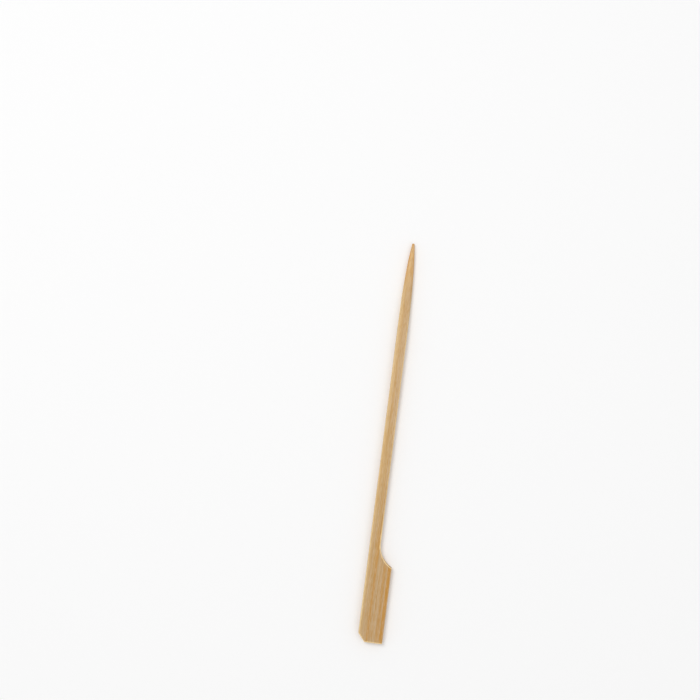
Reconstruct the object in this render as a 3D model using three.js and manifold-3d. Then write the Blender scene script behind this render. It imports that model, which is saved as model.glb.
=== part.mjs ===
// A bamboo skewer with a flat paddle at one end and a sharpened point at the other, cut from one strip.
// Millimetres, +Z up. It lies on its broad face, with its long axis along Y and its point towards +Y.
// The straight long edge is on the -X side, and the shoulder of the paddle is on the +X side.
// The origin is under the middle of the bounding box, on the face that it lies on.
import * as THREE from "three";
import { mergeVertices } from "three/addons/utils/BufferGeometryUtils.js";
import Module from "manifold-3d";

// The strip that it is cut from
const LENGTH = 150;
const THICKNESS = 3;
const EDGE_ROUND = 0.25;

// The paddle, from the butt end to the corner of its shoulder
const PADDLE_WIDTH = 9.3;
const PADDLE_LENGTH = 28.6;
const SHOULDER_RADIUS = 10;
const CHAMFER_ALONG = 3.15;
const CHAMFER_ACROSS = 2.6;

// The stem, which narrows a little towards the point
const STEM_WIDTH_AT_SHOULDER = 4.05;
const STEM_WIDTH_AT_POINT = 3.8;

// The point: a slightly convex cone with a blunt, rounded end
const POINT_LENGTH = 20;
const POINT_BULGE_AT = 7;
const POINT_BULGE_WIDTH = 2.8;
const TIP_WIDTH = 1;
const TIP_ROUND = 0.4;

// How finely the round stretches are divided
const SHOULDER_STEPS = 14;
const EDGE_STEPS = 3;
const POINT_STEPS = 10;
const POINT_SIDES = 40;

// How far the waste of the sharpening reaches past the stem
const WASTE_MARGIN = 0.5;

const BUTT_Y = -LENGTH / 2;
const TIP_Y = LENGTH / 2;
const STRAIGHT_EDGE_X = -PADDLE_WIDTH / 2;
const PADDLE_EDGE_X = PADDLE_WIDTH / 2;
const SHOULDER_CORNER_Y = BUTT_Y + PADDLE_LENGTH;
const POINT_AXIS_X = STRAIGHT_EDGE_X + STEM_WIDTH_AT_POINT / 2;

const wasm = await Module();
wasm.setup();

function solidFrom(geometry) {
  const shell = geometry.clone();
  shell.deleteAttribute("normal");
  shell.deleteAttribute("uv");
  const merged = mergeVertices(shell, 1e-4);
  return new wasm.Manifold(
    new wasm.Mesh({
      numProp: 3,
      vertProperties: merged.attributes.position.array,
      triVerts: new Uint32Array(merged.index.array),
    }),
  );
}

function geometryFrom(solid) {
  const mesh = solid.getMesh();
  const geometry = new THREE.BufferGeometry();
  geometry.setAttribute("position", new THREE.BufferAttribute(mesh.vertProperties, 3));
  geometry.setIndex(new THREE.BufferAttribute(mesh.triVerts, 1));
  geometry.computeVertexNormals();
  return geometry;
}

// The outline seen from above, from the chamfer around the paddle, the shoulder, the stem and its end.
// The shoulder is a hollow arc that leaves the stem's edge smoothly and meets the paddle's edge at a corner.
function outline() {
  const stemX = STRAIGHT_EDGE_X + STEM_WIDTH_AT_SHOULDER;
  const step = PADDLE_EDGE_X - stemX;
  const arcStep = Math.min(step, SHOULDER_RADIUS);
  const sweep = Math.acos(1 - arcStep / SHOULDER_RADIUS);
  const arcCentreX = stemX + SHOULDER_RADIUS;
  const arcCentreY = SHOULDER_CORNER_Y + SHOULDER_RADIUS * Math.sin(sweep);
  const shape = new THREE.Shape();
  shape.moveTo(STRAIGHT_EDGE_X, BUTT_Y + CHAMFER_ALONG);
  shape.lineTo(STRAIGHT_EDGE_X + CHAMFER_ACROSS, BUTT_Y);
  shape.lineTo(PADDLE_EDGE_X, BUTT_Y);
  shape.lineTo(PADDLE_EDGE_X, SHOULDER_CORNER_Y);
  shape.absarc(arcCentreX, arcCentreY, SHOULDER_RADIUS, Math.PI + sweep, Math.PI, true);
  shape.lineTo(STRAIGHT_EDGE_X + STEM_WIDTH_AT_POINT, TIP_Y);
  shape.lineTo(STRAIGHT_EDGE_X, TIP_Y);
  shape.closePath();
  return shape;
}

// The strip cut to the outline, with all its edges rounded alike.
function blank() {
  const geometry = new THREE.ExtrudeGeometry(outline(), {
    depth: THICKNESS - 2 * EDGE_ROUND,
    steps: 1,
    curveSegments: SHOULDER_STEPS,
    bevelEnabled: true,
    bevelThickness: EDGE_ROUND,
    bevelSize: EDGE_ROUND,
    bevelOffset: -EDGE_ROUND,
    bevelSegments: EDGE_STEPS,
  });
  geometry.translate(0, 0, EDGE_ROUND);
  return solidFrom(geometry);
}

// What the sharpening takes off: a cup around the stem's axis, hollow in the form of the point.
// Its cone runs on past the stem's flat sides until it has left the stem's corners too.
function sharpeningWaste() {
  const endRadius = STEM_WIDTH_AT_POINT / 2;
  const bulge = new THREE.Vector2(POINT_BULGE_WIDTH / 2, TIP_Y - POINT_BULGE_AT);
  const end = new THREE.Vector2(endRadius, TIP_Y - POINT_LENGTH);
  const cornerRadius = Math.hypot(STEM_WIDTH_AT_SHOULDER / 2, THICKNESS / 2);
  const slope = (end.y - bulge.y) / (end.x - bulge.x);
  const outside = cornerRadius + WASTE_MARGIN;
  const profile = new THREE.Path();
  profile.moveTo(0, TIP_Y);
  profile.quadraticCurveTo(TIP_WIDTH / 2, TIP_Y, TIP_WIDTH / 2, TIP_Y - TIP_ROUND);
  profile.quadraticCurveTo(bulge.x, bulge.y, end.x, end.y);
  profile.lineTo(outside, end.y + slope * (outside - endRadius));
  profile.lineTo(outside, TIP_Y + WASTE_MARGIN);
  profile.lineTo(0, TIP_Y + WASTE_MARGIN);
  const geometry = new THREE.LatheGeometry(profile.getPoints(POINT_STEPS), POINT_SIDES);
  geometry.translate(POINT_AXIS_X, 0, THICKNESS / 2);
  return solidFrom(geometry);
}

const bamboo = new THREE.MeshStandardMaterial({ color: 0xc8a778, roughness: 0.62, metalness: 0 });

const skewer = new THREE.Mesh(geometryFrom(blank().subtract(sharpeningWaste())), bamboo);
skewer.name = "skewer";

const bambooSkewer = new THREE.Group();
bambooSkewer.add(skewer);

export default bambooSkewer;
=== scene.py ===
"""A flat bamboo skewer, sawn and milled from one strip, with its grain and its sharpened point.

It is laid out as an add-on: the sizes and colours are properties, and each step of the making is
an operator. The skewer lies on its broad face, along Y, with its point towards +Y. Lengths are in
metres, apart from those in the tables that say that they are in millimetres.
"""

import math

import bmesh
import bpy
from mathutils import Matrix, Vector


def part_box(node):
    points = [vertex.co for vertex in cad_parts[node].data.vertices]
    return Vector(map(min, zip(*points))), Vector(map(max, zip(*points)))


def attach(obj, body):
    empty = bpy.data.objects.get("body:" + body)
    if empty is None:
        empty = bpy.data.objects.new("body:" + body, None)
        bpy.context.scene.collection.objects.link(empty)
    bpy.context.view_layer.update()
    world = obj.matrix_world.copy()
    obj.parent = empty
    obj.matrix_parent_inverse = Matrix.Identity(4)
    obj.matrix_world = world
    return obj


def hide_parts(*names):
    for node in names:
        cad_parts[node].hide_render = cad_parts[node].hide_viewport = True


bl_info = {
    "name": "Bamboo Skewer",
    "version": (1, 0, 0),
    "blender": (4, 5, 0),
    "location": "3D View > Sidebar > Skewer",
    "description": "Mills, sharpens and finishes a flat bamboo skewer and lays it on a plain stage",
    "category": "Add Mesh",
}

NODE = "skewer"
PIECE = "bamboo_skewer"
MM = 0.001

# The photograph's square frame: where it shows the tip, its scale, how far the skewer leans in it,
# and a lens and sensor that see the skewer as it does
FRAME_PIXELS = 700
TIP_PIXEL = (413.7, 243.3)
PIXELS_PER_METRE = 2679
LEAN = math.radians(7.35)
LENS_MM = 85
SENSOR_MM = 36

# The stage: the floor's side, roughness and gloss, the distances between which it turns evenly
# pale, the strength of the light from all round, and each lamp's name, place, side and power
FLOOR_SIDE = 6
FLOOR_ROUGHNESS = 0.9
FLOOR_GLOSS = 0.1
EVEN_FROM = 0.15
EVEN_TO = 0.45
WORLD_STRENGTH = 0.56
LAMPS = (
    ("key_lamp", (-0.4, 0.35, 1.2), 0.6, 6.6),
    ("fill_lamp", (0.5, -0.2, 1.1), 0.8, 1.9),
)

# How finely the round cuts are divided
SHOULDER_SIDES = 240
POINT_SIDES = 120
POINT_ROUND_STEPS = 5
POINT_SIDE_STEPS = 22
EDGE_SEGMENTS = 4

# How far the cutters reach past the strip
CUTTER_REACH = 4 * MM

# The solid around the point: its cone opens to this many times the distance of the stem's corners.
# From there its radius is this many of the strip's widths, and it ends this many of the strip's
# lengths behind the tip.
PAST_CORNERS = 1.5
ENVELOPE_WIDTHS = 3
ENVELOPE_LENGTHS = 2

# How near to a saw's plane a vertex counts as lying on it, the angle past which an edge counts as
# sawn, and the angle up to which the faces look smooth
SAW_TOLERANCE = 0.001 * MM
SCORE_TOLERANCE = 0.0005 * MM
SAWN_ANGLE = math.radians(25)
SMOOTH_ANGLE = math.radians(35)

# How far apart the strip is scored, so that its faces can take a relief, and the width and length
# of the fibres' ridges and of the long edges' waver
SCORES_ALONG = 0.5 * MM
SCORES_ACROSS = 0.15 * MM
SCORES_THROUGH = 0.2 * MM
RIDGE_SIZE = (0.45 * MM, 24 * MM)
WAVER_SIZE = (6 * MM, 22 * MM)

# The noises of the grain: width across the fibres and length along them, both in millimetres, then
# detail and roughness. The first one makes the fibres stray from side to side, within the breadth
# that follows it.
FIBRE_WAVER = (5, 60, 2.0, 0.5)
FIBRE_STRAY = 0.3 * MM
GRAIN = {
    "broad bands": (2.6, 110, 1.0, 0.5),
    "streaks": (0.42, 90, 3.0, 0.6),
    "threads": (0.3, 70, 1.0, 0.5),
    "flecks": (0.28, 2.2, 1.0, 0.5),
    "fine fibres": (0.13, 12, 2.0, 0.6),
}

# The levels that a noise seldom falls below, stays around, and seldom passes
NOISE_LOW = 0.25
NOISE_MIDDLE = 0.5
NOISE_HIGH = 0.75

# How strongly the thin bundles, the threads and the flecks tint the flesh
THIN_BUNDLE_TINT = 0.35
THREAD_TINT = 0.7
FLECK_TINT = 0.47

# The thin bundles' distance apart
THIN_BUNDLE_SPACING = 0.8 * MM

# The long fibre bundles that show in the upper face, in millimetres: name, distance from the
# straight edge, radius, the stretch along Y in which each lies in the face before it sinks below
# it, and its depth of colour
LONG_BUNDLES = (
    ("paddle bundle", 3.4, 0.62, -80, -36, 0.64),
    ("middle bundle", 6.85, 0.45, -80, -40, 0.62),
    ("far bundle", 8.5, 0.72, -80, -40, 1.0),
    ("stem bundle", 0.85, 0.2, -22, 2, 0.6),
)

# How deep a long bundle lies, how steeply it sinks at its ends, and the shares of its radius
# between which its colour fades
BUNDLE_DEPTH = 0.1 * MM
BUNDLE_SLOPE = 0.05
BUNDLE_CORE = 0.5
BUNDLE_RIM = 1.1

# Smooth steps by the place along Y, and two by the distance from an edge, in millimetres: where
# each begins and ends, and its values there
PLACE_STEPS = {
    "up the stem": (-55, 40, 0, 0.36),
    "at the point": (54, 69, 0, 0.64),
    "on the point": (57, 68, 0, 1),
    "before the point": (54, 66, 1, 0),
    # The next two set how strongly the painted highlights beside the edges show along Y, and the
    # last two how far they reach
    "margin strength": (-50, 30, 0.5, 1.3),
    "line strength": (-38, -20, 0.95, 0.5),
    "pale margin": (0.3, 1.8, 0.4, 0),
    "pale line": (0.2, 0.55, 1, 0),
}

# Smooth steps by a pattern's level, or by how squarely a face looks along an axis: where each
# begins and ends, and its values there
LEVEL_STEPS = {
    "near a bundle": (0.13, 0.3, 1, 0),
    "bundle strength": (0.1, 0.9, 0.25, 1),
    "bands share": (0.42, 0.62, 0, 0.6),
    "pink share": (0.5, 0.7, 0, 0.5),
    "ochre share": (0.48, 0.3, 0, 0.35),
    # Where the point's sides turn from the top: partly fibre colour, partly painted shade
    "on the flank": (0.97, 0.6, 0, 0.65),
    "cut end": (0.2, 0.6, 0, 1),
    "off the side": (0.05, 0.35, 0, 1),
    "uneven line": (NOISE_LOW, NOISE_HIGH, -0.07 * MM, 0.07 * MM),
    "fine shade": (0.3, 0.7, 0.93, 1.06),
    "fleck shade": (NOISE_LOW, NOISE_HIGH, 1.03, 0.97),
    "roughness": (0.3, 0.7, 0.52, 0.68),
}

# The stretch behind the tip in which it darkens, and how much
TIP_DARKENS_FROM = 1.8 * MM
TIP_DARKENS_TO = 0.2 * MM
TIP_TINT = 0.6

# The surface: the cut ends' roughness, the gloss, and the strength and height of the fine relief
END_ROUGHNESS = 0.8
GLOSS = 0.35
BUMP_STRENGTH = 0.8
BUMP_HEIGHT = 0.03 * MM

# The places of a Mix node's sockets for colours, whose names are those of its other sockets too
MIX_SHARE = 0
MIX_UNDER = 6
MIX_OVER = 7
MIX_RESULT = 2

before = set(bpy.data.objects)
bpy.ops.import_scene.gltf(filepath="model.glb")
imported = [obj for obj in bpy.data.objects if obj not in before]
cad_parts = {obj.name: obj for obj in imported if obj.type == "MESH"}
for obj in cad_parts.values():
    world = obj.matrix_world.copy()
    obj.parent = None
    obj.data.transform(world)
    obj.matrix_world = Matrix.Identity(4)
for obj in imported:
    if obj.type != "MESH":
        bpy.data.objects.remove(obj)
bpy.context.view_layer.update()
LOW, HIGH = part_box(NODE)


def length_property(name, description, default):
    """A length that the sidebar shows in the scene's units."""
    return bpy.props.FloatProperty(
        name=name,
        description=description,
        default=default,
        min=0.0,
        precision=5,
        subtype="DISTANCE",
        unit="LENGTH",
    )


def colour_property(name, description, srgb):
    """A colour given as 0 to 255 as a screen shows it, and kept in linear light."""
    return bpy.props.FloatVectorProperty(
        name=name,
        description=description,
        default=(*(linear(channel) for channel in srgb), 1.0),
        size=4,
        min=0.0,
        max=1.0,
        subtype="COLOR",
    )


def linear(channel):
    """A screen value from 0 to 255 as linear light, by the sRGB curve."""
    share = channel / 255
    if share <= 0.04045:
        return share / 12.92
    return ((share + 0.055) / 1.055) ** 2.4


class SkewerShape(bpy.types.PropertyGroup):
    """The sizes that the skewer is cut to."""

    paddle_length: length_property(
        "Paddle length", "From the butt end to the corner of the shoulder", 28.6 * MM
    )
    shoulder_radius: length_property(
        "Shoulder radius", "The round cutter that mills the shoulder", 10 * MM
    )
    chamfer_along: length_property(
        "Chamfer along", "How far the cut corner runs up the straight edge", 3.15 * MM
    )
    chamfer_across: length_property(
        "Chamfer across", "How far the cut corner runs over the butt end", 2.6 * MM
    )
    stem_at_shoulder: length_property(
        "Stem at shoulder", "The stem's width where the shoulder runs into it", 4.05 * MM
    )
    stem_at_point: length_property(
        "Stem at point", "The width that the stem narrows to by the tip", 3.8 * MM
    )
    point_length: length_property(
        "Point length", "From the tip to where the point is as wide as the stem", 20 * MM
    )
    bulge_at: length_property(
        "Bulge place", "How far behind the tip the point's curve is pulled outwards", 7 * MM
    )
    bulge_width: length_property(
        "Bulge width", "The width that the point's curve is pulled out to", 2.8 * MM
    )
    tip_width: length_property("Tip width", "The width of the blunt end of the point", 1 * MM)
    tip_round: length_property("Tip round", "The length of the rounding at the blunt end", 0.4 * MM)
    edge_round: length_property("Edge round", "The rounding of all the sawn edges", 0.25 * MM)
    ridge_height: length_property(
        "Ridge height", "How far the hollows between the fibres go into the faces", 0.05 * MM
    )
    edge_waver: length_property("Edge waver", "How far the long edges stray", 0.12 * MM)


class SkewerLook(bpy.types.PropertyGroup):
    """The colours of the bamboo and of the floor."""

    flesh: colour_property("Flesh", "The pinkish tan between the fibres", (187, 156, 112))
    flesh_pale: colour_property("Pale flesh", "The paler tan towards the point", (225, 185, 128))
    flesh_warm: colour_property("Warm flesh", "The yellower tan of broad bands", (199, 165, 112))
    pith: colour_property("Pith", "The greyish pink flecks between the fibres", (200, 170, 136))
    fibre: colour_property("Fibre", "The ochre of the fibre bundles", (188, 136, 60))
    # A painted highlight: the paler strip beside the straight edge, on the side that the light
    # comes from
    margin: colour_property("Margin", "The paler tan beside the straight edge", (230, 194, 137))
    # A painted highlight: the pale line along the rounded sawn edges, where they catch the light
    edge: colour_property("Edge", "The pale, rubbed edges", (233, 205, 153))
    end_grain: colour_property("End grain", "The cut ends between the fibres", (190, 148, 92))
    end_fibre: colour_property("End fibre", "The fibre bundles seen end on", (128, 84, 40))
    # Partly the ochre of fibres cut across on the point's sides, partly painted shade where they
    # turn away from the light
    flank: colour_property("Flank", "The sides of the point, cut across the fibres", (212, 155, 82))
    tip: colour_property("Tip", "The darker end of the point", (198, 146, 76))
    floor: colour_property("Floor", "The plain floor under the skewer", (251, 251, 251))


def deselect_all():
    """Leaves nothing selected, so that the next operator acts only on what it is given."""
    if bpy.context.object and bpy.context.object.mode != "OBJECT":
        bpy.ops.object.mode_set(mode="OBJECT")
    bpy.ops.object.select_all(action="DESELECT")


def activate(obj):
    """Selects one object alone and makes it the active one."""
    deselect_all()
    obj.select_set(True)
    bpy.context.view_layer.objects.active = obj


def named(name):
    """The active object under a new name."""
    obj = bpy.context.object
    obj.name = name
    obj.data.name = name
    return obj


def skewer():
    """The skewer as it stands, made the active object."""
    obj = bpy.data.objects.get(PIECE)
    if obj is None:
        raise RuntimeError("the strip has not been sawn yet")
    activate(obj)
    return obj


def apply_place():
    """Puts the active object's place, turn and scale into its mesh."""
    bpy.ops.object.transform_apply(location=True, rotation=True, scale=True)


def block(name, low, high):
    """A block between two corners."""
    low = Vector(low)
    high = Vector(high)
    deselect_all()
    bpy.ops.mesh.primitive_cube_add(size=1, location=(low + high) / 2)
    obj = named(name)
    obj.scale = high - low
    apply_place()
    return obj


def select_where(obj, test):
    """In edit mode, selects just the vertices whose place passes the test."""
    bpy.ops.mesh.select_mode(type="VERT")
    bpy.ops.mesh.select_all(action="DESELECT")
    mesh = bmesh.from_edit_mesh(obj.data)
    for vertex in mesh.verts:
        vertex.select = test(vertex.co)
    mesh.select_flush_mode()
    bmesh.update_edit_mesh(obj.data)


def cut_with(obj, tool, operation="DIFFERENCE"):
    """Cuts obj with a tool's solid and throws the tool away."""
    activate(obj)
    bpy.ops.object.modifier_add(type="BOOLEAN")
    cut = obj.modifiers[-1]
    cut.operation = operation
    cut.solver = "EXACT"
    cut.object = tool
    bpy.ops.object.modifier_apply(modifier=cut.name)
    activate(tool)
    bpy.ops.object.delete()
    activate(obj)


def shoulder_centre(shape):
    """Where the round cutter that mills the shoulder stands."""
    step = HIGH.x - LOW.x - shape.stem_at_shoulder
    sweep = math.acos(1 - min(step, shape.shoulder_radius) / shape.shoulder_radius)
    centre_x = LOW.x + shape.stem_at_shoulder + shape.shoulder_radius
    centre_y = LOW.y + shape.paddle_length + shape.shoulder_radius * math.sin(sweep)
    return Vector((centre_x, centre_y, 0))


def mill_shoulder(obj, shape):
    """Mills the strip down to its stem: a round cutter leaves the shoulder, and a straight pass
    the stem's edge."""
    centre = shoulder_centre(shape)
    deselect_all()
    bpy.ops.mesh.primitive_cylinder_add(
        vertices=SHOULDER_SIDES,
        radius=shape.shoulder_radius,
        depth=HIGH.z + 2 * CUTTER_REACH,
        location=centre + Vector((0, 0, HIGH.z / 2)),
    )
    cutter = named("shoulder_cutter")
    apply_place()
    cut_with(obj, cutter)

    pass_low = (LOW.x + shape.stem_at_shoulder, centre.y, -CUTTER_REACH)
    pass_high = (HIGH.x + CUTTER_REACH, HIGH.y, HIGH.z + CUTTER_REACH)
    straight_pass = block("stem_pass", pass_low, pass_high)
    past_near_end = centre.y + CUTTER_REACH
    taper = shape.stem_at_shoulder - shape.stem_at_point
    bpy.ops.object.mode_set(mode="EDIT")
    select_where(straight_pass, lambda place: place.y > past_near_end and place.x < HIGH.x)
    bpy.ops.transform.translate(value=(-taper, 0, 0))
    select_where(straight_pass, lambda place: place.y > past_near_end)
    bpy.ops.transform.translate(value=(0, CUTTER_REACH, 0))
    bpy.ops.object.mode_set(mode="OBJECT")
    cut_with(obj, straight_pass)


def saw_chamfer(obj, shape):
    """Saws off the corner of the butt end on the straight edge's side."""
    activate(obj)
    bpy.ops.object.mode_set(mode="EDIT")
    bpy.ops.mesh.select_all(action="SELECT")
    bpy.ops.mesh.bisect(
        plane_co=(LOW.x + shape.chamfer_across, LOW.y, 0),
        plane_no=(-shape.chamfer_along, -shape.chamfer_across, 0),
        use_fill=True,
        clear_outer=True,
        threshold=SAW_TOLERANCE,
    )
    bpy.ops.object.mode_set(mode="OBJECT")


def round_edges(obj, shape):
    """Rounds every sawn edge a little."""
    activate(obj)
    bpy.ops.object.modifier_add(type="BEVEL")
    bevel = obj.modifiers[-1]
    bevel.width = shape.edge_round
    bevel.segments = EDGE_SEGMENTS
    bevel.limit_method = "ANGLE"
    bevel.angle_limit = SAWN_ANGLE
    bpy.ops.object.modifier_apply(modifier=bevel.name)


class SKEWER_OT_strip(bpy.types.Operator):
    """Saw the strip, mill its shoulder and stem, saw its chamfer and round its edges"""

    bl_idname = "skewer.strip"
    bl_label = "Cut the strip"

    def execute(self, context):
        shape = context.scene.skewer_shape
        strip = block(PIECE, LOW, HIGH)
        mill_shoulder(strip, shape)
        saw_chamfer(strip, shape)
        round_edges(strip, shape)
        return {"FINISHED"}


def bezier(start, pull, end, share):
    """The point at a share of a curve from start to end that leans towards pull."""
    rest = 1 - share
    return rest * rest * start + 2 * rest * share * pull + share * share * end


def point_profile(shape):
    """(radius, distance behind the tip) pairs down the point, and on around the whole strip.

    The first is half a step in, so that it has a radius. The cone runs on past the stem's flat
    sides until it has left its corners too.
    """
    tip = Vector((0, 0))
    brow = Vector((shape.tip_width / 2, shape.tip_round))
    bulge = Vector((shape.bulge_width / 2, shape.bulge_at))
    end = Vector((shape.stem_at_point / 2, shape.point_length))
    corner = Vector((brow.x, 0))
    profile = [
        bezier(tip, corner, brow, (step + 0.5) / POINT_ROUND_STEPS)
        for step in range(POINT_ROUND_STEPS)
    ]
    profile += [
        bezier(brow, bulge, end, step / POINT_SIDE_STEPS)
        for step in range(1, POINT_SIDE_STEPS + 1)
    ]
    past_corners = PAST_CORNERS * math.hypot(shape.stem_at_shoulder / 2, HIGH.z / 2)
    slope = (end.y - bulge.y) / (end.x - bulge.x)
    past_corners_y = end.y + slope * (past_corners - end.x)
    clear = ENVELOPE_WIDTHS * (HIGH.x - LOW.x)
    profile.append(Vector((past_corners, past_corners_y)))
    profile.append(Vector((clear, past_corners_y)))
    profile.append(Vector((clear, ENVELOPE_LENGTHS * (HIGH.y - LOW.y))))
    return profile


def point_envelope(shape):
    """The solid that the sharpened strip stays inside, extruded ring by ring from the tip."""
    axis_x = LOW.x + shape.stem_at_point / 2
    axis_z = HIGH.z / 2
    profile = point_profile(shape)
    deselect_all()
    bpy.ops.mesh.primitive_circle_add(
        vertices=POINT_SIDES,
        radius=profile[0].x,
        fill_type="NGON",
        location=(axis_x, HIGH.y - profile[0].y, axis_z),
        rotation=(math.radians(90), 0, 0),
    )
    envelope = named("point_envelope")
    apply_place()
    bpy.ops.object.mode_set(mode="EDIT")
    bpy.ops.mesh.select_mode(type="EDGE")
    bpy.ops.mesh.select_all(action="SELECT")
    for before, after in zip(profile, profile[1:]):
        bpy.ops.mesh.extrude_region_move(
            TRANSFORM_OT_translate={"value": (0, before.y - after.y, 0)}
        )
        grow = after.x / before.x
        bpy.ops.transform.resize(
            value=(grow, 1, grow), center_override=(axis_x, HIGH.y, axis_z)
        )
    bpy.ops.mesh.select_all(action="SELECT")
    bpy.ops.mesh.normals_make_consistent(inside=False)
    bpy.ops.object.mode_set(mode="OBJECT")
    return envelope


class SKEWER_OT_point(bpy.types.Operator):
    """Sharpen the end of the stem to a slightly convex point"""

    bl_idname = "skewer.point"
    bl_label = "Sharpen the point"

    def execute(self, context):
        obj = skewer()
        envelope = point_envelope(context.scene.skewer_shape)
        cut_with(obj, envelope, operation="INTERSECT")
        return {"FINISHED"}


def score(direction, start, end, spacing):
    """In edit mode, scores the skewer through with parallel planes."""
    for index in range(math.floor((end - start) / spacing)):
        place = start + (index + 0.5) * spacing
        bpy.ops.mesh.select_all(action="SELECT")
        bpy.ops.mesh.bisect(
            plane_co=direction * place,
            plane_no=direction,
            threshold=SCORE_TOLERANCE,
        )


def relief(obj, name, size, strength, mid_level, direction):
    """Moves the faces by a noise of a given width and length, except where it is at mid_level."""
    across, along = size
    texture = bpy.data.textures.new(name, type="CLOUDS")
    texture.noise_scale = 1
    texture.noise_depth = 2
    deselect_all()
    bpy.ops.object.empty_add(location=(0, 0, 0))
    guide = bpy.context.object
    guide.scale = (across, along, across)
    activate(obj)
    bpy.ops.object.modifier_add(type="DISPLACE")
    displace = obj.modifiers[-1]
    displace.texture = texture
    displace.texture_coords = "OBJECT"
    displace.texture_coords_object = guide
    displace.direction = direction
    displace.mid_level = mid_level
    displace.strength = strength
    bpy.ops.object.modifier_apply(modifier=displace.name)
    activate(guide)
    bpy.ops.object.delete()
    bpy.data.textures.remove(texture)
    activate(obj)


class SKEWER_OT_relief(bpy.types.Operator):
    """Give the faces the ridges and hollows of the fibres, and the edges their slight unevenness"""

    bl_idname = "skewer.relief"
    bl_label = "Raise the fibres"

    def execute(self, context):
        shape = context.scene.skewer_shape
        obj = skewer()
        bpy.ops.object.mode_set(mode="EDIT")
        score(Vector((0, 1, 0)), LOW.y, HIGH.y, SCORES_ALONG)
        score(Vector((1, 0, 0)), LOW.x, HIGH.x, SCORES_ACROSS)
        score(Vector((0, 0, 1)), LOW.z, HIGH.z, SCORES_THROUGH)
        bpy.ops.object.mode_set(mode="OBJECT")
        relief(
            obj, "fibre_ridges", RIDGE_SIZE, shape.ridge_height, mid_level=1, direction="NORMAL"
        )
        relief(obj, "edge_waver", WAVER_SIZE, shape.edge_waver, mid_level=0.5, direction="X")
        bpy.ops.object.shade_smooth_by_angle(angle=SMOOTH_ANGLE)
        return {"FINISHED"}


def add_node(tree, kind, name, **settings):
    """A named shader node with its settings."""
    node = tree.nodes.new(kind)
    node.name = name
    node.label = name
    for setting, value in settings.items():
        setattr(node, setting, value)
    return node


def feed(tree, socket, value):
    """Gives a socket its value: another socket's, by a link, or a plain one."""
    if isinstance(value, bpy.types.NodeSocket):
        tree.links.new(value, socket)
    else:
        socket.default_value = value


def maths(tree, operation, name, *values):
    """What an operation makes of one or two values, each of them a socket or a number."""
    node = add_node(tree, "ShaderNodeMath", name, operation=operation)
    for socket, value in zip(node.inputs, values):
        feed(tree, socket, value)
    return node.outputs["Value"]


def vector_maths(tree, operation, name, *values):
    """What an operation makes of two vectors, each of them a socket or plain numbers."""
    node = add_node(tree, "ShaderNodeVectorMath", name, operation=operation)
    for socket, value in zip(node.inputs, values):
        feed(tree, socket, value)
    return node.outputs["Value" if operation in ("DISTANCE", "DOT_PRODUCT") else "Vector"]


def apart(tree, name, source):
    """The three parts of a vector."""
    node = add_node(tree, "ShaderNodeSeparateXYZ", name)
    tree.links.new(source, node.inputs["Vector"])
    return node.outputs


def blend_colour(tree, name, share, under, over, blend_type="MIX"):
    """One colour over another, by a share from 0 to 1."""
    node = add_node(tree, "ShaderNodeMix", name, data_type="RGBA", blend_type=blend_type)
    feed(tree, node.inputs[MIX_SHARE], share)
    feed(tree, node.inputs[MIX_UNDER], under)
    feed(tree, node.inputs[MIX_OVER], over)
    return node.outputs[MIX_RESULT]


def blend_shaders(tree, name, share, under, over):
    """One shader over another, by a share from 0 to 1."""
    node = add_node(tree, "ShaderNodeMixShader", name)
    for socket, value in zip(node.inputs, (share, under, over)):
        tree.links.new(value, socket)
    return node.outputs["Shader"]


def ramp(tree, source, name, low, high, start, end):
    """A smooth step of a value, from start at low to end at high."""
    node = add_node(tree, "ShaderNodeMapRange", name, interpolation_type="SMOOTHSTEP")
    node.inputs["From Min"].default_value = low
    node.inputs["From Max"].default_value = high
    node.inputs["To Min"].default_value = start
    node.inputs["To Max"].default_value = end
    tree.links.new(source, node.inputs["Value"])
    return node.outputs["Result"]


def place_step(tree, source, name):
    """One of the smooth steps by a place or a distance."""
    low, high, start, end = PLACE_STEPS[name]
    return ramp(tree, source, name, low * MM, high * MM, start, end)


def level_step(tree, source, name):
    """One of the smooth steps by a level."""
    return ramp(tree, source, name, *LEVEL_STEPS[name])


def noise(tree, source, name, across, along, detail, roughness):
    """A noise drawn out along the fibres, across wide and along long in millimetres."""
    mapping = add_node(tree, "ShaderNodeMapping", name + " place", vector_type="POINT")
    mapping.inputs["Scale"].default_value = (
        1 / (across * MM),
        1 / (along * MM),
        1 / (across * MM),
    )
    tree.links.new(source, mapping.inputs["Vector"])
    node = add_node(tree, "ShaderNodeTexNoise", name)
    node.inputs["Scale"].default_value = 1
    node.inputs["Detail"].default_value = detail
    node.inputs["Roughness"].default_value = roughness
    tree.links.new(mapping.outputs["Vector"], node.inputs["Vector"])
    return node


def fibre_coordinates(tree, source):
    """Places that stray a little from side to side, as fibres do on their way along the strip."""
    waver = noise(tree, source, "waver", *FIBRE_WAVER).outputs["Color"]
    centred = vector_maths(tree, "SUBTRACT", "waver centred", waver, (NOISE_MIDDLE,) * 3)
    stray = (FIBRE_STRAY, 0, FIBRE_STRAY)
    sized = vector_maths(tree, "MULTIPLY", "waver sized", centred, stray)
    return vector_maths(tree, "ADD", "fibre place", source, sized)


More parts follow.
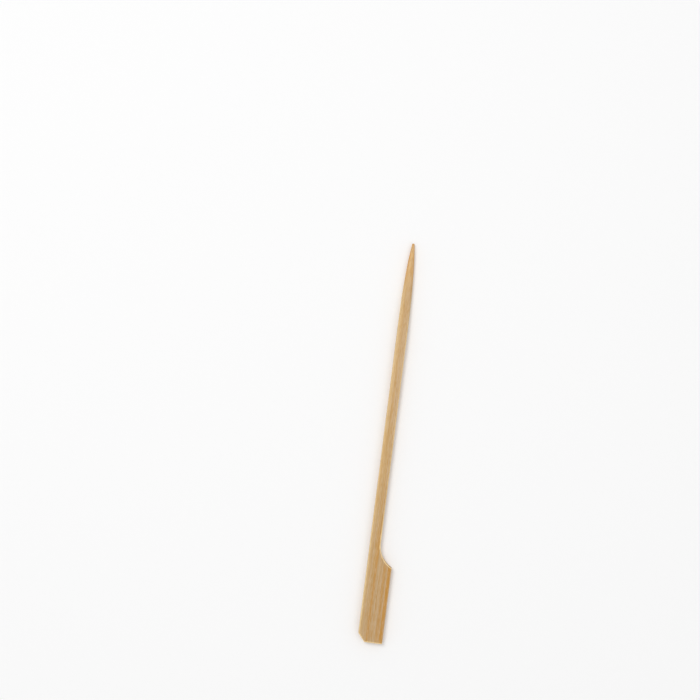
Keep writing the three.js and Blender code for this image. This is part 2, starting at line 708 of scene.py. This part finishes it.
def long_bundle(tree, place, name, x, radius, low, high):
    """A share that is 1 inside a long bundle, which sinks below the upper face outside low to
    high."""
    past_high = maths(tree, "SUBTRACT", name + " past high", place["Y"], high)
    past_low = maths(tree, "SUBTRACT", name + " past low", low, place["Y"])
    past = maths(tree, "MAXIMUM", name + " past", past_high, past_low)
    past = maths(tree, "MAXIMUM", name + " past ends", past, 0)
    sunk = maths(tree, "MULTIPLY", name + " sunk", past, BUNDLE_SLOPE)
    off_x = maths(tree, "SUBTRACT", name + " x", place["X"], x)
    off_z = maths(tree, "SUBTRACT", name + " z", place["Z"], HIGH.z - BUNDLE_DEPTH)
    off_z = maths(tree, "ADD", name + " depth", off_z, sunk)
    square_x = maths(tree, "MULTIPLY", name + " x squared", off_x, off_x)
    square_z = maths(tree, "MULTIPLY", name + " z squared", off_z, off_z)
    square = maths(tree, "ADD", name + " squared", square_x, square_z)
    away = maths(tree, "SQRT", name + " away", square)
    return ramp(tree, away, name, BUNDLE_CORE * radius, BUNDLE_RIM * radius, 1, 0)


def thin_bundles(tree, fibres):
    """A share that is 1 inside the many thin bundles, which run from end to end of the strip."""
    across = add_node(tree, "ShaderNodeCombineXYZ", "across the fibres")
    tree.links.new(fibres["X"], across.inputs["X"])
    tree.links.new(fibres["Z"], across.inputs["Y"])
    bundles = add_node(
        tree, "ShaderNodeTexVoronoi", "bundles", feature="F1", voronoi_dimensions="2D"
    )
    bundles.inputs["Scale"].default_value = 1 / THIN_BUNDLE_SPACING
    tree.links.new(across.outputs["Vector"], bundles.inputs["Vector"])
    luck = add_node(tree, "ShaderNodeSeparateColor", "bundle luck")
    tree.links.new(bundles.outputs["Color"], luck.inputs["Color"])
    near = level_step(tree, bundles.outputs["Distance"], "near a bundle")
    strong = level_step(tree, luck.outputs["Red"], "bundle strength")
    return maths(tree, "MULTIPLY", "bundle", near, strong)


def ochre_and_pink(tree, name, pattern, colour, look, most):
    """Tints a colour ochre where a pattern is high and pink where it is low."""
    ochre = ramp(tree, pattern, "ochre %s share" % name, NOISE_MIDDLE, NOISE_HIGH, 0, most)
    colour = blend_colour(tree, "ochre %ss" % name, ochre, colour, look.fibre)
    pink = ramp(tree, pattern, "pink %s share" % name, NOISE_MIDDLE, NOISE_LOW, 0, most)
    return blend_colour(tree, "pink %ss" % name, pink, colour, look.pith)


def sawn_colour(tree, place, fibres, grain, thin, look):
    """The colour of the faces that are sawn along the fibres: the flesh, paler towards the point,
    with its bands, streaks, bundles, threads and flecks."""
    up_the_stem = place_step(tree, place["Y"], "up the stem")
    at_the_point = place_step(tree, place["Y"], "at the point")
    paler = maths(tree, "ADD", "towards the point", up_the_stem, at_the_point)
    colour = blend_colour(tree, "flesh", paler, look.flesh, look.flesh_pale)
    warm = level_step(tree, grain["broad bands"], "bands share")
    colour = blend_colour(tree, "warm bands", warm, colour, look.flesh_warm)
    pink = level_step(tree, grain["streaks"], "pink share")
    colour = blend_colour(tree, "pink streaks", pink, colour, look.pith)
    ochre = level_step(tree, grain["streaks"], "ochre share")
    colour = blend_colour(tree, "ochre streaks", ochre, colour, look.fibre)
    thin_share = maths(tree, "MULTIPLY", "bundle share", thin, THIN_BUNDLE_TINT)
    colour = blend_colour(tree, "bundles over", thin_share, colour, look.fibre)
    colour = ochre_and_pink(tree, "thread", grain["threads"], colour, look, THREAD_TINT)
    for name, *sizes, depth in LONG_BUNDLES:
        from_edge, radius, low, high = (size * MM for size in sizes)
        inside = long_bundle(tree, fibres, name, LOW.x + from_edge, radius, low, high)
        share = maths(tree, "MULTIPLY", name + " share", inside, depth)
        colour = blend_colour(tree, name + " over", share, colour, look.fibre)
    return ochre_and_pink(tree, "fleck", grain["flecks"], colour, look, FLECK_TINT)


def flank_tint_and_shade_over(tree, colour, place, flat_on, look):
    """A colour, with the point's flanks tinted over it: partly the ochre of fibres cut across
    there, partly painted shade where the sides turn away from the light.
    """
    on_point = place_step(tree, place["Y"], "on the point")
    flank = level_step(tree, flat_on, "on the flank")
    flank = maths(tree, "MULTIPLY", "flank share", flank, on_point)
    return blend_colour(tree, "flanks", flank, colour, look.flank)


def from_sawn_edges(tree, here, place, shape):
    """How far a place lies inside the sawn outline, and how far from the straight edge alone.

    The paddle's edge on the shoulder's side is left out, because no pale line runs along it.
    """
    centre = shoulder_centre(shape)
    taper = (shape.stem_at_shoulder - shape.stem_at_point) / (HIGH.y - centre.y)
    beyond = maths(tree, "SUBTRACT", "beyond the shoulder", place["Y"], centre.y)
    beyond = maths(tree, "MAXIMUM", "on the stem", beyond, 0)
    squared_up = maths(tree, "MULTIPLY", "stem squared up", beyond, taper)
    milled_x = maths(tree, "ADD", "milled x", place["X"], squared_up)
    milled_y = maths(tree, "MINIMUM", "milled y", place["Y"], centre.y)
    milled = add_node(tree, "ShaderNodeCombineXYZ", "milled place")
    tree.links.new(milled_x, milled.inputs["X"])
    tree.links.new(milled_y, milled.inputs["Y"])
    away = vector_maths(tree, "DISTANCE", "from the centre", milled.outputs["Vector"], centre)
    from_milling = maths(tree, "SUBTRACT", "from the milling", away, shape.shoulder_radius)

    inward = Vector((shape.chamfer_along, shape.chamfer_across, 0)).normalized()
    on_chamfer = inward.dot(Vector((LOW.x + shape.chamfer_across, LOW.y, 0)))
    over_chamfer = vector_maths(tree, "DOT_PRODUCT", "over the chamfer", here, inward)
    from_chamfer = maths(tree, "SUBTRACT", "from the chamfer", over_chamfer, on_chamfer)

    from_butt = maths(tree, "SUBTRACT", "from the butt", place["Y"], LOW.y)
    from_straight = maths(tree, "SUBTRACT", "from the straight edge", place["X"], LOW.x)
    nearest = maths(tree, "MINIMUM", "nearest end", from_chamfer, from_butt)
    nearest = maths(tree, "MINIMUM", "nearest side", nearest, from_milling)
    return maths(tree, "MINIMUM", "nearest edge", nearest, from_straight), from_straight


def painted_edge_highlights_over(tree, colour, here, place, flat_on, flecks, shape, look):
    """A colour, with painted highlights over it: a pale strip beside the straight edge, and a pale
    line along the rounded edges where they catch the light."""
    nearest, from_straight = from_sawn_edges(tree, here, place, shape)
    off_side = level_step(tree, flat_on, "off the side")
    before_point = place_step(tree, place["Y"], "before the point")
    on_face = maths(tree, "MULTIPLY", "on the face", off_side, before_point)

    # The painted highlight beside the straight edge
    margin = place_step(tree, from_straight, "pale margin")
    margin = maths(tree, "MULTIPLY", "margin on the face", margin, on_face)
    margin_strength = place_step(tree, place["Y"], "margin strength")
    margin = maths(tree, "MULTIPLY", "margin share", margin, margin_strength)
    colour = blend_colour(tree, "margin", margin, colour, look.margin)

    # The painted highlight along the edges, its line made a little uneven
    uneven = level_step(tree, flecks, "uneven line")
    highlit = maths(tree, "ADD", "highlit", nearest, uneven)
    line = place_step(tree, highlit, "pale line")
    line_strength = place_step(tree, place["Y"], "line strength")
    line = maths(tree, "MULTIPLY", "pale line share", line, line_strength)
    line = maths(tree, "MULTIPLY", "line on the face", line, on_face)
    return blend_colour(tree, "edges", line, colour, look.edge)


def tip_over(tree, colour, place, look):
    """A colour, with the darker end of the point over it."""
    low = HIGH.y - TIP_DARKENS_FROM
    high = HIGH.y - TIP_DARKENS_TO
    share = ramp(tree, place["Y"], "tip share", low, high, 0, TIP_TINT)
    return blend_colour(tree, "tip over", share, colour, look.tip)


def shaded(tree, colour, grain):
    """A colour, with the light and shade of the finest fibres in it."""
    shade = level_step(tree, grain["fine fibres"], "fine shade")
    fleck_shade = level_step(tree, grain["flecks"], "fleck shade")
    shade = maths(tree, "MULTIPLY", "shade", shade, fleck_shade)
    grey = add_node(tree, "ShaderNodeCombineColor", "fine shade colour")
    for channel in grey.inputs:
        tree.links.new(shade, channel)
    return blend_colour(tree, "fine fibres over", 1.0, colour, grey.outputs["Color"], "MULTIPLY")


def fibrous_surface(tree, shader, grain, cut_end):
    """Gives the shader its roughness, which is greater on the cut ends, and its fine relief."""
    rough = level_step(tree, grain["streaks"], "roughness")
    rough_end = maths(tree, "MULTIPLY", "end roughness", cut_end, END_ROUGHNESS)
    rough = maths(tree, "MAXIMUM", "rougher ends", rough, rough_end)
    tree.links.new(rough, shader.inputs["Roughness"])
    shader.inputs["Specular IOR Level"].default_value = GLOSS
    height = maths(tree, "ADD", "height", grain["fine fibres"], grain["streaks"])
    bump = add_node(tree, "ShaderNodeBump", "fibre bump")
    bump.inputs["Strength"].default_value = BUMP_STRENGTH
    bump.inputs["Distance"].default_value = BUMP_HEIGHT
    tree.links.new(height, bump.inputs["Height"])
    tree.links.new(bump.outputs["Normal"], shader.inputs["Normal"])


def bamboo_material(shape, look):
    """Bamboo, with streaks where it is cut along its fibres, and the same bundles as dots where it
    is cut across them."""
    material = bpy.data.materials.new("bamboo")
    material.use_nodes = True
    tree = material.node_tree
    shader = tree.nodes["Principled BSDF"]
    where = add_node(tree, "ShaderNodeTexCoord", "where")
    here = where.outputs["Object"]
    place = apart(tree, "place", here)
    facing = apart(tree, "facing", where.outputs["Normal"])
    flat_on = maths(tree, "ABSOLUTE", "flat on", facing["Z"])
    end_on = maths(tree, "ABSOLUTE", "end on", facing["Y"])
    cut_end = level_step(tree, end_on, "cut end")

    fibre_place = fibre_coordinates(tree, here)
    fibres = apart(tree, "fibre place apart", fibre_place)
    grain = {
        name: noise(tree, fibre_place, name, *sizes).outputs["Fac"]
        for name, sizes in GRAIN.items()
    }
    thin = thin_bundles(tree, fibres)

    colour = sawn_colour(tree, place, fibres, grain, thin, look)
    # The point's flanks: partly fibre colour, partly painted shade
    colour = flank_tint_and_shade_over(tree, colour, place, flat_on, look)
    end_colour = blend_colour(tree, "end bundles", thin, look.end_grain, look.end_fibre)
    colour = blend_colour(tree, "cut ends", cut_end, colour, end_colour)
    # Painted highlights beside and along the edges
    colour = painted_edge_highlights_over(tree, colour, here, place, flat_on, grain["flecks"], shape, look)
    colour = tip_over(tree, colour, place, look)
    tree.links.new(shaded(tree, colour, grain), shader.inputs["Base Color"])
    fibrous_surface(tree, shader, grain, cut_end)
    return material


class SKEWER_OT_finish(bpy.types.Operator):
    """Give the skewer its bamboo finish, and let it stand for the solid"""

    bl_idname = "skewer.finish"
    bl_label = "Finish the bamboo"

    def execute(self, context):
        obj = skewer()
        obj.data.materials.clear()
        scene = context.scene
        obj.data.materials.append(bamboo_material(scene.skewer_shape, scene.skewer_look))
        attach(obj, "root")
        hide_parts(NODE)
        return {"FINISHED"}


def seen_directly(tree):
    """A share that is 1 for what the camera sees, also in a reflection or through glass."""
    path = add_node(tree, "ShaderNodeLightPath", "light path")
    seen = maths(
        tree, "MAXIMUM", "seen", path.outputs["Is Camera Ray"], path.outputs["Is Glossy Ray"]
    )
    return maths(tree, "MAXIMUM", "seen through", seen, path.outputs["Is Transmission Ray"])


def floor_material(look):
    """A plain, matt, pale floor, which turns evenly pale to the eye far from the skewer."""
    material = bpy.data.materials.new("floor")
    material.use_nodes = True
    tree = material.node_tree
    shader = tree.nodes["Principled BSDF"]
    shader.inputs["Base Color"].default_value = look.floor
    shader.inputs["Roughness"].default_value = FLOOR_ROUGHNESS
    shader.inputs["Specular IOR Level"].default_value = FLOOR_GLOSS
    where = add_node(tree, "ShaderNodeTexCoord", "where")
    away = vector_maths(tree, "DISTANCE", "away", where.outputs["Object"], (0, 0, 0))
    far = ramp(tree, away, "far", EVEN_FROM, EVEN_TO, 0, 1)
    share = maths(tree, "MULTIPLY", "even share", far, seen_directly(tree))
    even = add_node(tree, "ShaderNodeEmission", "even paleness")
    even.inputs["Color"].default_value = look.floor
    mix = blend_shaders(
        tree, "floor or even paleness", share, shader.outputs["BSDF"], even.outputs["Emission"]
    )
    tree.links.new(mix, tree.nodes["Material Output"].inputs["Surface"])
    return material


def studio_world(look):
    """Even light from all round, which the eye sees as the floor's own pale colour."""
    world = bpy.data.worlds.new("studio")
    world.use_nodes = True
    tree = world.node_tree
    light = tree.nodes["Background"]
    light.inputs["Color"].default_value = (1, 1, 1, 1)
    light.inputs["Strength"].default_value = WORLD_STRENGTH
    backdrop = add_node(tree, "ShaderNodeBackground", "backdrop")
    backdrop.inputs["Color"].default_value = look.floor
    mix = blend_shaders(
        tree,
        "light or backdrop",
        seen_directly(tree),
        light.outputs["Background"],
        backdrop.outputs["Background"],
    )
    tree.links.new(mix, tree.nodes["World Output"].inputs["Surface"])
    return world


def add_camera(shape):
    """A camera that looks straight down, framed as the photograph is."""
    right = Vector((math.cos(LEAN), math.sin(LEAN), 0))
    up = Vector((-math.sin(LEAN), math.cos(LEAN), 0))
    tip = Vector((LOW.x + shape.stem_at_point / 2, HIGH.y, HIGH.z))
    middle = tip - right * ((TIP_PIXEL[0] - FRAME_PIXELS / 2) / PIXELS_PER_METRE)
    middle += up * ((TIP_PIXEL[1] - FRAME_PIXELS / 2) / PIXELS_PER_METRE)
    away = FRAME_PIXELS / PIXELS_PER_METRE * LENS_MM / SENSOR_MM
    deselect_all()
    bpy.ops.object.camera_add(location=middle + Vector((0, 0, away)), rotation=(0, 0, LEAN))
    camera = bpy.context.object
    camera.name = "camera"
    camera.data.lens = LENS_MM
    camera.data.sensor_width = SENSOR_MM
    camera.data.clip_start = 1 * MM
    bpy.context.scene.camera = camera


def add_lamp(name, location, side, power):
    """A soft square lamp that shines at the skewer."""
    deselect_all()
    bpy.ops.object.light_add(type="AREA", location=location)
    lamp = bpy.context.object
    lamp.name = name
    lamp.data.size = side
    lamp.data.energy = power
    lamp.rotation_euler = Vector(location).to_track_quat("Z", "Y").to_euler()


class SKEWER_OT_stage(bpy.types.Operator):
    """Lay out the floor, the lamps and the camera"""

    bl_idname = "skewer.stage"
    bl_label = "Set the stage"

    def execute(self, context):
        scene = context.scene
        deselect_all()
        bpy.ops.mesh.primitive_plane_add(size=FLOOR_SIDE, location=(0, 0, 0))
        floor = named("floor")
        floor.data.materials.append(floor_material(scene.skewer_look))
        for lamp in LAMPS:
            add_lamp(*lamp)
        scene.world = studio_world(scene.skewer_look)
        scene.view_settings.view_transform = "Standard"
        add_camera(scene.skewer_shape)
        return {"FINISHED"}


class SKEWER_PT_panel(bpy.types.Panel):
    """The skewer's sizes, colours and steps"""

    bl_idname = "SKEWER_PT_panel"
    bl_label = "Bamboo Skewer"
    bl_space_type = "VIEW_3D"
    bl_region_type = "UI"
    bl_category = "Skewer"

    def draw(self, context):
        layout = self.layout
        for group in (context.scene.skewer_shape, context.scene.skewer_look):
            column = layout.column(align=True)
            for name in group.__annotations__:
                column.prop(group, name)
        for step in STEPS:
            layout.operator(step.bl_idname)


STEPS = (SKEWER_OT_strip, SKEWER_OT_point, SKEWER_OT_relief, SKEWER_OT_finish, SKEWER_OT_stage)
CLASSES = (SkewerShape, SkewerLook, *STEPS, SKEWER_PT_panel)


def register():
    for cls in CLASSES:
        bpy.utils.register_class(cls)
    bpy.types.Scene.skewer_shape = bpy.props.PointerProperty(type=SkewerShape)
    bpy.types.Scene.skewer_look = bpy.props.PointerProperty(type=SkewerLook)


def unregister():
    del bpy.types.Scene.skewer_look
    del bpy.types.Scene.skewer_shape
    for cls in reversed(CLASSES):
        bpy.utils.unregister_class(cls)


def main():
    """Makes the skewer step by step."""
    register()
    bpy.ops.skewer.strip()
    bpy.ops.skewer.point()
    bpy.ops.skewer.relief()
    bpy.ops.skewer.finish()
    bpy.ops.skewer.stage()


if __name__ == "__main__":
    main()
